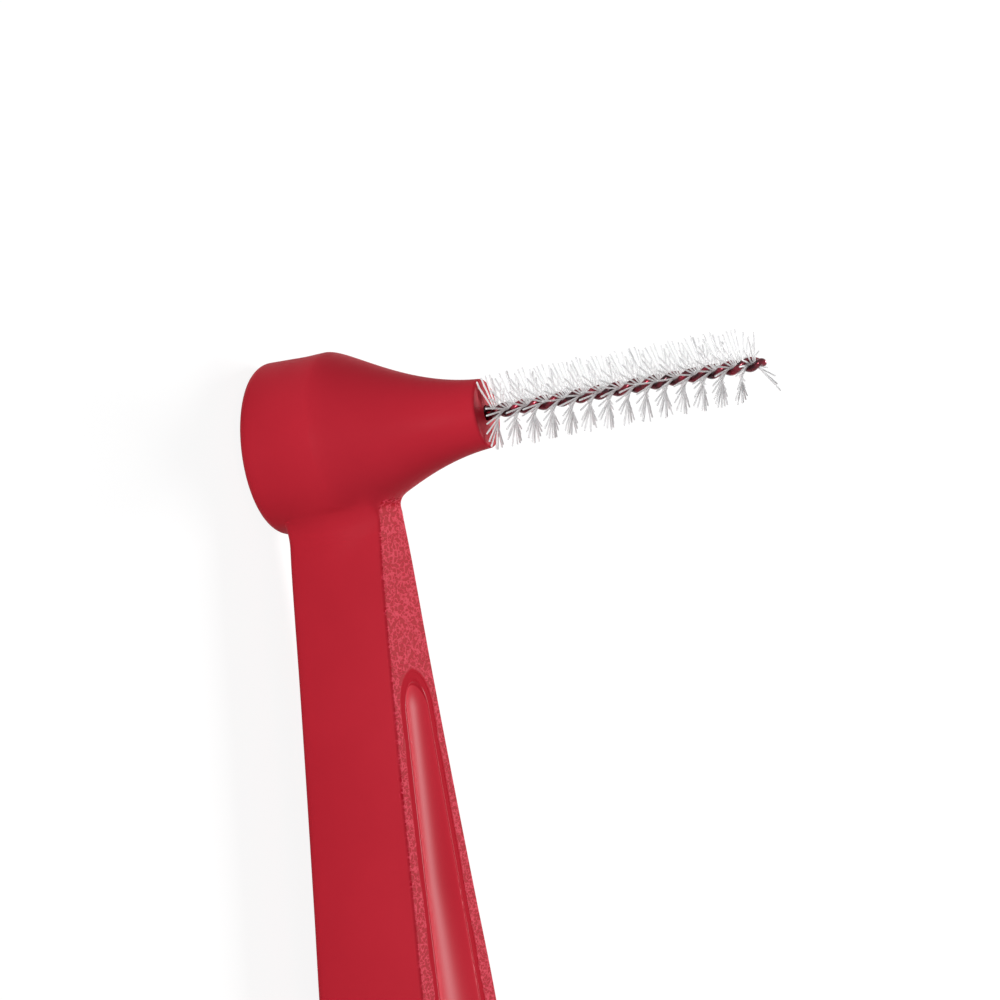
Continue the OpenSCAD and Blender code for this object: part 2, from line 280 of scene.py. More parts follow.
def loose_object(bm: bmesh.types.BMesh, name: str, place: Matrix | None = None) -> bpy.types.Object:
    """Makes an object of a mesh, with its normals outwards, and frees the mesh.

    Args:
        bm: the mesh.
        name: the object's name.
        place: where the mesh is moved to, or None where it is in its place.

    Returns:
        The object, in the scene.
    """
    if place is not None:
        bmesh.ops.transform(bm, matrix=place, verts=bm.verts)
    bmesh.ops.recalc_face_normals(bm, faces=bm.faces)
    mesh = bpy.data.meshes.new(name)
    bm.to_mesh(mesh)
    bm.free()
    return linked(name, mesh)


def combine(body: bpy.types.Object, tool: bpy.types.Object, cut: Cut) -> None:
    """Joins a tool to a body or carves it out of the body, and removes the tool.

    Args:
        body: object whose mesh changes.
        tool: closed object that is used up.
        cut: what is done.
    """
    modifier = body.modifiers.new("cut", "BOOLEAN")
    modifier.operation = cut.value
    modifier.solver = "MANIFOLD"
    modifier.object = tool
    graph = bpy.context.evaluated_depsgraph_get()
    mesh = bpy.data.meshes.new_from_object(body.evaluated_get(graph))
    body.modifiers.clear()
    body.data = mesh
    bpy.data.objects.remove(tool)


# Finishes


@dataclass(frozen=True)
class Noise:
    """A noise pattern on Object coordinates.

    Size is that of its blobs, detail the number of finer layers, rough their strength, stretch the scale of
    the coordinates, and span the values that are spread over a whole range.
    """

    size: float
    detail: float = 2.0
    rough: float = 0.5
    stretch: Triple | None = None
    span: Pair = (0.3, 0.7)


class NodeSheet:
    """The node tree of a material or of the surroundings, with short ways to fill it."""

    def __init__(self, owner: Owner, output: str) -> None:
        """Empties the tree and adds its output.

        Args:
            owner: material or surroundings that the tree belongs to.
            output: type of the output node.
        """
        owner.use_nodes = True
        self.owner = owner
        self.tree = owner.node_tree
        self.tree.nodes.clear()
        self.output = self.add(output)

    @classmethod
    def of_material(cls, name: str) -> "NodeSheet":
        """Returns the sheet of a new material."""
        return cls(bpy.data.materials.new(name), "ShaderNodeOutputMaterial")

    def add(self, kind: str, values: Inputs | None = None, **settings: object) -> bpy.types.Node:
        """Adds a node.

        Args:
            kind: the node's type.
            values: what its input sockets hold or are linked to, by socket name or number.
            settings: the node's own settings.

        Returns:
            The node.
        """
        node = self.tree.nodes.new(kind)
        for key, value in settings.items():
            setattr(node, key, value)
        for key, value in (values or {}).items():
            if isinstance(value, bpy.types.NodeSocket):
                self.tree.links.new(value, node.inputs[key])
            else:
                node.inputs[key].default_value = value
        return node

    def attribute(self, name: str) -> Socket:
        """Returns the socket of a value that the mesh carries."""
        return self.add("ShaderNodeAttribute", attribute_name=name).outputs["Fac"]

    def noise(self, pattern: Noise) -> Socket:
        """Adds a noise pattern.

        Args:
            pattern: how it looks.

        Returns:
            The socket of its value.
        """
        place = self.add("ShaderNodeTexCoord").outputs["Object"]
        if pattern.stretch:
            place = self.add("ShaderNodeMapping", {"Vector": place, "Scale": pattern.stretch}).outputs[0]
        return self.add("ShaderNodeTexNoise", {
            "Vector": place, "Scale": 1 / (pattern.size * MM), "Detail": pattern.detail,
            "Roughness": pattern.rough}).outputs[0]

    def ranged(self, value: Socket, source: Pair, target: Pair = (0.0, 1.0)) -> Socket:
        """Maps a value from one range to another, held at its ends.

        Args:
            value: socket that is read.
            source: the range that it has.
            target: the range that comes out.

        Returns:
            The socket of the result.
        """
        return self.add("ShaderNodeMapRange", {
            "Value": value, "From Min": source[0], "From Max": source[1],
            "To Min": target[0], "To Max": target[1]}).outputs[0]

    def spread(self, pattern: Noise, target: Pair = (0.0, 1.0)) -> Socket:
        """Returns the socket of a noise pattern whose span is spread over a range."""
        return self.ranged(self.noise(pattern), pattern.span, target)

    def swing(self, pattern: Noise) -> Socket:
        """Returns the socket of a noise pattern that swings to both sides of 0."""
        return self.maths("SUBTRACT", self.noise(pattern), NOISE_MIDDLE)

    def maths(self, operation: str, a: object, b: object = 0.0) -> Socket:
        """Adds a Math node on two values or sockets and returns its result."""
        return self.add("ShaderNodeMath", {0: a, 1: b}, operation=operation).outputs[0]

    def mix(self, share: object, a: object, b: object) -> Socket:
        """Mixes two values, or sockets of values, by a share from a to b."""
        return self.add("ShaderNodeMix", {"Factor": share, 2: a, 3: b}).outputs[0]

    def blend(self, share: object, a: object, b: object) -> Socket:
        """Mixes two colours, or sockets of colours, by a share from a to b."""
        return self.add("ShaderNodeMix", {"Factor": share, 6: a, 7: b}, data_type="RGBA").outputs[2]

    def bump(self, height: Socket, depth: float) -> Socket:
        """Returns the socket of a normal that follows a height from 0 to 1 over a depth in millimetres."""
        return self.add("ShaderNodeBump", {"Height": height, "Distance": depth * MM}).outputs[0]

    def show(self, shader: bpy.types.Node) -> Owner:
        """Ends the tree in a shader and returns the tree's owner."""
        self.tree.links.new(shader.outputs[0], self.output.inputs["Surface"])
        return self.owner

    def surface(self, values: Inputs) -> bpy.types.Material:
        """Ends the tree in a Principled shader with these inputs and returns the material."""
        return self.show(self.add("ShaderNodeBsdfPrincipled", values))

    def lit_and_seen(self, lit: bpy.types.Node, seen: bpy.types.Node) -> Owner:
        """Ends the tree in two shaders.

        Args:
            lit: the one that lights the scene.
            seen: the one that is seen, straight on, in a reflection or through something clear.

        Returns:
            The tree's owner.
        """
        rays = self.add("ShaderNodeLightPath").outputs
        viewer = self.maths("MAXIMUM", rays["Is Camera Ray"], rays["Is Glossy Ray"])
        viewer = self.maths("MAXIMUM", viewer, rays["Is Transmission Ray"])
        shaders = {1: lit.outputs[0], 2: seen.outputs[0]}
        return self.show(self.add("ShaderNodeMixShader", {"Fac": viewer, **shaders}))


@dataclass(frozen=True)
class MouldedRed:
    """Red moulded plastic: satin skin, spark-eroded grain on the front face, and a smooth thumb recess. The
    band inside the recess's lip is painted darker as painted shade, the dish is painted lighter as painted
    light, and the grain's pale ridges are partly painted sheen.

    A span is the stretch of a pattern, or of the millimetres inside an edge, over which a look fades in.
    """

    smooth: Colour = (0.51, 0.0215, 0.038, 1)
    smooth_deep: Colour = (0.475, 0.0190, 0.034, 1)
    # painted shade: the band is the same plastic as the skin, painted darker and less pink to stand in for
    # shade and missing sheen
    band: Colour = (0.46, 0.0100, 0.024, 1)
    # painted light: the dish is the same plastic as the skin, painted lighter to lift the shade on the
    # recess's far wall
    dish: Colour = (0.63, 0.0270, 0.048, 1)
    grain_low: Colour = (0.42, 0.0060, 0.018, 1)
    # pale ridge colour of the grain: partly the grain's own tone, partly painted sheen of light glancing off
    # the ridges
    grain_high_and_sheen: Colour = (0.71, 0.050, 0.088, 1)
    smooth_rough: Pair = (0.42, 0.50)
    band_rough: float = 0.85
    dish_rough: float = 0.36
    grain_rough: float = 0.58
    gloss: float = 0.02
    clouds: Noise = Noise(5.0, span=(0.35, 0.65))
    polish: Noise = Noise(1.2, 3, 0.55)
    flecks: Noise = Noise(0.05, 1)
    fleck_height: float = 0.03
    crinkle: Noise = Noise(0.16, 1.2, 0.55, (1.0, 0.40, 1.0))
    fine: Noise = Noise(0.096, 2, 0.6, (1.0, 0.40, 1.0))
    ridge: float = 0.11
    ridge_share: float = 0.62
    grain_span: Pair = (0.22, 0.78)
    grain_depth: float = 0.018
    ragged: Noise = Noise(0.30, 3, 0.6)
    ragged_reach: float = 0.32
    edge_span: Pair = (-0.03, 0.03)
    band_span: Pair = (-0.60, -0.50)
    flank_span: Pair = (-0.10, -0.07)
    crest_span: Pair = (-0.03, -0.01)
    dish_span: Pair = (0.03, 0.07)

    def grain(self, sheet: NodeSheet) -> Socket:
        """Draws the grain.

        Args:
            sheet: the finish's node sheet.

        Returns:
            The socket of the grain's height, from 0 to 1.
        """
        away = sheet.maths("ABSOLUTE", sheet.swing(self.crinkle))
        ridges = sheet.ranged(away, (0.0, self.ridge), (1.0, 0.0))
        return sheet.maths("ADD", sheet.maths("MULTIPLY", ridges, self.ridge_share),
                           sheet.maths("MULTIPLY", sheet.noise(self.fine), 1 - self.ridge_share))

    def material(self) -> bpy.types.Material:
        """Mixes the finish.

        Returns:
            The material.
        """
        sheet = NodeSheet.of_material("moulded_red")
        grain = self.grain(sheet)
        edge = sheet.maths("MULTIPLY", sheet.swing(self.ragged), self.ragged_reach)
        grained = sheet.ranged(sheet.maths("ADD", sheet.attribute(GRAIN_EDGE), edge), self.edge_span)
        recess = sheet.attribute(DISH_EDGE)
        banded, dished = sheet.ranged(recess, self.band_span), sheet.ranged(recess, self.dish_span)
        flank = sheet.maths("SUBTRACT", sheet.ranged(recess, self.flank_span),
                            sheet.ranged(recess, self.crest_span))
        skin = sheet.blend(sheet.spread(self.clouds), self.smooth, self.smooth_deep)
        # painted shade on the band and painted light in the dish, both laid over the same red
        skin = sheet.blend(dished, sheet.blend(banded, skin, self.band), self.dish)
        # grain colour, paler where the ridges stand high: partly real grain, partly painted sheen
        grain_and_sheen = sheet.blend(sheet.ranged(grain, self.grain_span), self.grain_low, self.grain_high_and_sheen)
        satin = sheet.mix(banded, sheet.spread(self.polish, self.smooth_rough), self.band_rough)
        satin = sheet.mix(sheet.maths("ADD", dished, flank), satin, self.dish_rough)
        flecks = sheet.maths("MULTIPLY", sheet.noise(self.flecks), self.fleck_height)
        return sheet.surface({
            "Base Color": sheet.blend(grained, skin, grain_and_sheen),
            "Roughness": sheet.mix(grained, satin, self.grain_rough),
            "Specular IOR Level": self.gloss,
            "Normal": sheet.bump(sheet.mix(grained, flecks, grain), self.grain_depth)})


@dataclass(frozen=True)
class DarkSkin:
    """Thin dark red plastic skin over bright wire: tinted glints under a glossy surface."""

    deep: Colour = (0.020, 0.0010, 0.004, 1)
    bright: Colour = (0.24, 0.005, 0.022, 1)
    metallic: float = 0.80
    rough: Pair = (0.14, 0.26)
    coat: float = 0.4
    coat_rough: float = 0.05
    mottle: Noise = Noise(0.35, 3, 0.55, span=(0.35, 0.7))
    polish: Noise = Noise(0.12)
    ripple: Noise = Noise(0.08)
    ripple_depth: float = 0.002

    def material(self) -> bpy.types.Material:
        """Mixes the finish.

        Returns:
            The material.
        """
        sheet = NodeSheet.of_material("dark_skin")
        return sheet.surface({
            "Base Color": sheet.blend(sheet.spread(self.mottle), self.deep, self.bright),
            "Metallic": self.metallic, "Roughness": sheet.spread(self.polish, self.rough),
            "Coat Weight": self.coat, "Coat Roughness": self.coat_rough,
            "Normal": sheet.bump(sheet.noise(self.ripple), self.ripple_depth)})


@dataclass(frozen=True)
class DrawnSteel:
    """Bright drawn wire with fine lines along it."""

    light: Colour = (0.60, 0.60, 0.62, 1)
    dark: Colour = (0.42, 0.42, 0.44, 1)
    rough: Pair = (0.22, 0.36)
    lines: Noise = Noise(0.05, stretch=(1.0, 1.0, 0.12))
    line_depth: float = 0.0015

    def material(self) -> bpy.types.Material:
        """Mixes the finish.

        Returns:
            The material.
        """
        sheet = NodeSheet.of_material("drawn_steel")
        lines = sheet.noise(self.lines)
        return sheet.surface({
            "Base Color": sheet.blend(lines, self.dark, self.light), "Metallic": 1.0,
            "Roughness": sheet.ranged(lines, self.lines.span, self.rough),
            "Normal": sheet.bump(lines, self.line_depth)})


@dataclass(frozen=True)
class ClearNylon:
    """Milky clear nylon filament."""

    milky: Colour = (0.96, 0.96, 0.96, 1)
    shaded: Colour = (0.88, 0.88, 0.89, 1)
    rough: Pair = (0.28, 0.42)
    see_through: float = 0.12
    ior: float = 1.53
    gloss: float = 0.45
    streaks: Noise = Noise(0.30, span=(0.35, 0.65))
    polish: Noise = Noise(0.1)
    ripple: Noise = Noise(0.05)
    ripple_depth: float = 0.001

    def material(self) -> bpy.types.Material:
        """Mixes the finish.

        Returns:
            The material.
        """
        sheet = NodeSheet.of_material("clear_nylon")
        return sheet.surface({
            "Base Color": sheet.blend(sheet.spread(self.streaks), self.shaded, self.milky),
            "Roughness": sheet.spread(self.polish, self.rough),
            "Transmission Weight": self.see_through, "IOR": self.ior, "Specular IOR Level": self.gloss,
            "Normal": sheet.bump(sheet.noise(self.ripple), self.ripple_depth)})


@dataclass(frozen=True)
class PaleFloor:
    """Pale studio floor that looks white past the object and keeps its shadow."""

    paint: Colour = (0.88, 0.88, 0.88, 1)
    seen_paint: Colour = (0.14, 0.14, 0.14, 1)
    seen_glow: float = 0.90

    def material(self) -> bpy.types.Material:
        """Mixes the finish.

        Returns:
            The material.
        """
        sheet = NodeSheet.of_material("pale_floor")
        lit, matt = (sheet.add("ShaderNodeBsdfDiffuse", {"Color": colour})
                     for colour in (self.paint, self.seen_paint))
        glow = sheet.add("ShaderNodeEmission", {"Color": WHITE, "Strength": self.seen_glow})
        seen = sheet.add("ShaderNodeAddShader", {0: matt.outputs[0], 1: glow.outputs[0]})
        return sheet.lit_and_seen(lit, seen)


Finish = MouldedRed | DarkSkin | DrawnSteel | ClearNylon


def settle(piece: bpy.types.Object, finish: Finish, nodes: Sequence[str],
           sharp: float = 40.0) -> bpy.types.Object:
    """Scales a finished mesh to metres, dresses it and puts it on the frame.

    Args:
        piece: object whose mesh is in millimetres, in its place.
        finish: what it is made of.
        nodes: the CAD nodes that it stands for.
        sharp: angle between faces from which an edge stays sharp, in degrees.

    Returns:
        The piece.
    """
    mesh = piece.data
    mesh.transform(Matrix.Scale(MM, 4))
    mesh.shade_smooth()
    mesh.set_sharp_from_angle(angle=math.radians(sharp))
    mesh.materials.clear()
    mesh.materials.append(finish.material())
    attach(piece, BODY)
    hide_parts(*nodes)
    LOG.info("%s: %d faces, stands for %s", piece.name, len(mesh.polygons), ", ".join(nodes))
    return piece


# Handle


@dataclass
class Head:
    """The head: a snout that tapers to the brush, a short barrel, and a domed back square to the handle."""

    snout_r: float = 1.26
    barrel_r: float = 3.2
    rim_r: float = 3.12
    snout_l: float = 5.7
    elbow_l: float = 0.8
    elbow_run: float = 0.6
    barrel_l: float = 2.3
    rim_round: float = 0.48
    dome_h: float = 0.66
    lip_round: float = 0.12
    lip_angles: Pair = (90.0, 15.0)
    tilt: float = 2.84
    lead_share: float = 0.52
    swell_share: float = 0.118
    shoulder_share: float = 0.88
    bore_r: float = 0.295
    bore_l: float = 5.3
    bore_over: float = 0.5
    bore_sides: int = 64
    end_steps: int = 5
    lip_steps: int = 8
    snout_steps: int = 48
    barrel_steps: int = 16
    rim_steps: int = 12
    dome_steps: int = 16
    turns: int = 160
    weld: float = 1e-5

    @cached_property
    def snout(self) -> list[Pair]:
        """Draws the snout's outline.

        Returns:
            Its points as (radius, distance towards the tip), from its end to the barrel.
        """
        lead_r = self.snout_r + self.swell_share * (self.barrel_r - self.snout_r)
        ends = ((self.snout_r, -self.lip_round), (lead_r, -self.lead_share * self.snout_l),
                (self.barrel_r, -self.shoulder_share * self.snout_l), (self.barrel_r, -self.snout_l))
        points = []
        for i in range(self.snout_steps + 1):
            u = i / self.snout_steps
            shares = ((1 - u) ** 3, 3 * u * (1 - u) ** 2, 3 * u * u * (1 - u), u ** 3)
            points.append(tuple(sum(s * p[k] for s, p in zip(shares, ends)) for k in (0, 1)))
        return points

    @cached_property
    def outline(self) -> list[Pair]:
        """Draws the whole outline.

        Returns:
            Its points as the snout's, from the middle of the snout's end to the middle of the back.
        """
        rim_z = -(self.snout_l + self.barrel_l)
        rim_c = self.rim_r - self.rim_round
        over = self.dome_h - self.rim_round
        dome_r = (self.dome_h ** 2 + rim_c ** 2 - self.rim_round ** 2) / (2 * over)
        edge = math.degrees(math.asin(rim_c / (dome_r - self.rim_round)))
        end_r = self.snout_r - self.lip_round
        end = [(end_r * i / self.end_steps, 0.0) for i in range(self.end_steps)]
        lip = arc((end_r, -self.lip_round), self.lip_round, *self.lip_angles, self.lip_steps)
        sides = tuple(zip(self.snout[-1], (self.rim_r, rim_z)))
        barrel = [tuple(a + (b - a) * i / self.barrel_steps for a, b in sides)
                  for i in range(1, self.barrel_steps)]
        rim = arc((rim_c, rim_z), self.rim_round, 0, edge - 90, self.rim_steps)
        back = []
        for i in range(1, self.dome_steps + 1):
            a = math.radians(edge * (1 - i / self.dome_steps))
            back.append((dome_r * math.sin(a), rim_z - self.dome_h + dome_r * (1 - math.cos(a))))
        return end + lip + self.snout + barrel + rim + back

    def bent(self, point: Vector) -> Vector:
        """Turns a point behind the elbow about it, so that the back stands square to the handle.

        Args:
            point: its place on a straight head.

        Returns:
            Its place on the bent one.
        """
        elbow = Vector((0, 0, -(self.snout_l + self.elbow_l)))
        past = clamp((elbow.z + self.elbow_run - point.z) / (2 * self.elbow_run))
        turn = math.radians(self.tilt) * ease(past)
        return Matrix.Rotation(turn, 3, "Y") @ (point - elbow) + elbow

    def aside(self) -> float:
        """Returns how far down the handle the back's middle lies from the snout's end."""
        return (self.snout_l + self.elbow_l) * math.sin(math.radians(self.tilt))

    def reach(self) -> float:
        """Measures the tilted head.

        Returns:
            How far it reaches behind the snout's end.
        """
        tilted = Matrix.Rotation(-math.radians(self.tilt), 3, "Y")
        places = (self.bent(Vector((side * r, 0, z))) for r, z in self.outline for side in (1, -1))
        return max(-(tilted @ place).z for place in places)

    def radius_at(self, back: float) -> float:
        """Reads the snout's outline.

        Args:
            back: distance behind the snout's end.

        Returns:
            The radius there, or the end's or the barrel's radius beyond it.
        """
        for (r0, z0), (r1, z1) in zip(self.snout, self.snout[1:]):
            if -z0 <= back <= -z1:
                return r0 + (r1 - r0) * (back + z0) / (z0 - z1)
        return self.snout_r if back < self.lip_round else self.barrel_r

    def build(self, axis: Matrix) -> bpy.types.Object:
        """Spins the outline into the closed head.

        Args:
            axis: place of the snout's end, with Z towards the tip.

        Returns:
            The head as a loose object in millimetres.
        """
        bm = bmesh.new()
        line = [bm.verts.new((r, 0, z)) for r, z in self.outline]
        edges = [bm.edges.new(pair) for pair in zip(line, line[1:])]
        bmesh.ops.spin(bm, geom=line + edges, cent=(0, 0, 0), axis=(0, 0, 1), angle=math.tau,
                       steps=self.turns, use_merge=True)
        bmesh.ops.remove_doubles(bm, verts=bm.verts, dist=self.weld)
        for vert in bm.verts:
            vert.co = self.bent(vert.co)
        return loose_object(bm, "head_blank", axis)

    def bore(self, axis: Matrix) -> bpy.types.Object:
        """Makes the plug that carves the stem's bore.

        Args:
            axis: place of the snout's end, with Z towards the tip.

        Returns:
            The plug as a loose object in millimetres.
        """
        bm = bmesh.new()
        middle = Matrix.Translation((0, 0, (self.bore_over - self.bore_l) / 2))
        bmesh.ops.create_cone(
            bm, cap_ends=True, segments=self.bore_sides, radius1=self.bore_r, radius2=self.bore_r,
            depth=self.bore_l + self.bore_over, matrix=axis @ middle)
        return loose_object(bm, "bore_plug")


@dataclass
class Recess:
    """The smooth thumb recess in the handle's front face, with a narrow band between lip and dished floor.

    Rows are rings of its mesh: a band row is its share of the way from the lip to the crest and its height
    over the face, and a floor row is its share of the way from the crest to the middle line.
    """

    start: float = 8.87
    length: float = 54.0
    top_w: float = 2.75
    shank_w: float = 4.7
    grip_w: float = 6.6
    foot_share: float = 0.45
    top_round: float = 1.3
    foot_round: float = 4.0
    shank_at: float = 21.0
    grip_at: float = 40.0
    depth: float = 0.5
    wall_power: float = 2.1
    full_room: float = 1.6
    room_power: float = 1.5
    band: float = 0.42
    band_top: float = 0.19
    crest: float = 0.05
    grain_gap: float = 0.15
    brim_out: float = 0.06
    brim_heights: Pair = (1.0, 0.05)
    band_rows: tuple[Pair, ...] = (
        (0.0, -0.008), (0.3, -0.008), (0.6, -0.008), (0.8, -0.006), (0.93, 0.004), (1.0, 0.008))
    floor_rows: tuple[float, ...] = (
        0.0, 0.025, 0.05, 0.08, 0.12, 0.17, 0.23, 0.3, 0.38, 0.47, 0.57, 0.68, 0.79, 0.9, 1.0)
    round_steps: int = 18
    side_steps: int = 90
    side_power: float = 1.25
    lip_search: float = 2.5
    weld: float = 1e-4

    def __post_init__(self) -> None:
        """Lays the half width's stations, then draws the lip and its outward directions."""
        self.end = self.start + self.length
        self.half = Stations(((self.start, self.top_w / 2), (self.shank_at, self.shank_w / 2),
                              (self.grip_at, self.grip_w / 2), (self.end, self.foot_share * self.grip_w)))
        self.lip = self.draw_lip()
        self.normals = self.outward()

    def half_width(self, at: float) -> float:
        """Measures the recess's half width.

        Args:
            at: distance from the brush axis.

        Returns:
            The lip's distance from the middle line there.
        """
        rounded = [math.sqrt(max(0.0, 1 - (1 - clamp(u)) ** 2))
                   for u in ((at - self.start) / self.top_round, (self.end - at) / self.foot_round)]
        return self.half.at(at) * rounded[0] * rounded[1]

    def draw_lip(self) -> list[tuple[Vector, Vector]]:
        """Draws the lip in the plane of the face.

        Returns:
            Its points all round, each with the point on the middle line that it closes on.
        """
        turns = [1 - math.cos(math.radians(90 * i / self.round_steps)) for i in range(1, self.round_steps)]
        top, foot = self.start + self.top_round, self.end - self.foot_round
        run = self.length - self.top_round - self.foot_round
        side = [(self.start + self.top_round * turn, top) for turn in turns]
        side += [(x, x) for x in (top + run * (i / self.side_steps) ** self.side_power
                                  for i in range(self.side_steps + 1))]
        side += [(self.end - self.foot_round * turn, foot) for turn in reversed(turns)]
        right = [(Vector((x, self.half_width(x))), Vector((m, 0))) for x, m in side]
        left = [(Vector((p.x, -p.y)), m.copy()) for p, m in reversed(right)]
        return [(Vector((self.start, 0)), Vector((top, 0))), *right,
                (Vector((self.end, 0)), Vector((foot, 0))), *left]

    def outward(self) -> list[Vector]:
        """Finds the ways out of the recess.

        Returns:
            The direction square to the lip at each of its points, in the plane of the face.
        """
        points = [p for p, _ in self.lip]
        found = []
        for before, after in zip([points[-1], *points[:-1]], [*points[1:], points[0]]):
            along = (after - before).normalized()
            found.append(Vector((-along.y, along.x)))
        return [n if n.dot(p - m) > 0 else -n for n, (p, m) in zip(found, self.lip)]

    def outside(self, at: float, y: float) -> float:
        """Measures how far outside the lip a point of the face lies.

        Args:
            at: its distance from the brush axis.
            y: its distance from the middle line.

        Returns:
            Its distance from the lip, negative inside it.
        """
        nearest = min((p - Vector((at, y))).length for p, _ in self.lip
                      if abs(p.x - at) < self.lip_search and p.y >= 0)
        inside = self.start < at < self.end and y < self.half_width(at)
        return -nearest if inside else nearest

    def sink(self, share: float, at: float) -> float:
        """Measures the floor's depth.

        Args:
            share: how much of the way it is from the crest to the middle line.
            at: the place on the middle line, as a distance from the brush axis.

        Returns:
            The depth, which is less where the recess is narrow.
        """
        soft = (math.hypot(share, self.crest) - self.crest) / (math.hypot(1, self.crest) - self.crest)
        room = min(1.0, (self.half_width(at) - self.band) / self.full_room)
        return self.depth * (1 - (1 - soft) ** self.wall_power) * room ** self.room_power

    def inset(self, normal: Vector) -> float:
        """Returns the width of the band inside the lip, where the lip faces the way of the normal."""
        return math.hypot(self.band * normal.y, self.band_top * normal.x)

    def brim_ring(self, height: float) -> list[Triple]:
        """Returns a ring just outside the lip, as x, y and height over the face, at one height."""
        return [(p.x + n.x * self.brim_out, p.y + n.y * self.brim_out, height)
                for (p, _), n in zip(self.lip, self.normals)]

    def band_ring(self, share: float, height: float) -> list[Triple]:
        """Returns a ring on the band, as the brim's, at a share of the way from the lip to the crest."""
        rows = (p - n * (share * self.inset(n)) for (p, _), n in zip(self.lip, self.normals))
        return [(q.x, q.y, height) for q in rows]

    def floor_ring(self, share: float) -> list[Triple]:
        """Draws a ring on the floor.

        Args:
            share: how much of the way it is from the crest to the middle line.

        Returns:
            Its points as x, y and height over the face.
        """
        crest = self.band_rows[-1][1]
        rows = ((p - n * self.inset(n), m) for (p, m), n in zip(self.lip, self.normals))
        rows = ((q + (m - q) * share, m.x) for q, m in rows)
        return [(q.x, q.y, crest * (1 - share) - self.sink(share, at)) for q, at in rows]

    def build(self, front: Stations, axis_x: float) -> bpy.types.Object:
        """Makes the block that carves the recess.

        Args:
            front: height of the handle's front face by distance from the brush axis.
            axis_x: the brush axis's X at the snout's end.

        Returns:
            The block as a loose object in millimetres.
        """
        plan = [self.brim_ring(height) for height in self.brim_heights]
        plan += [self.band_ring(share, height) for share, height in self.band_rows[:-1]]
        plan += [self.floor_ring(share) for share in self.floor_rows]
        bm = bmesh.new()
        skin = loft(bm, ([Vector((axis_x + x, y, front.at(x) + height)) for x, y, height in ring]
                         for ring in plan), closed=False)
        bmesh.ops.contextual_create(bm, geom=skin.rim(skin.first))
        bmesh.ops.remove_doubles(bm, verts=bm.verts, dist=self.weld)
        return loose_object(bm, "recess_block")


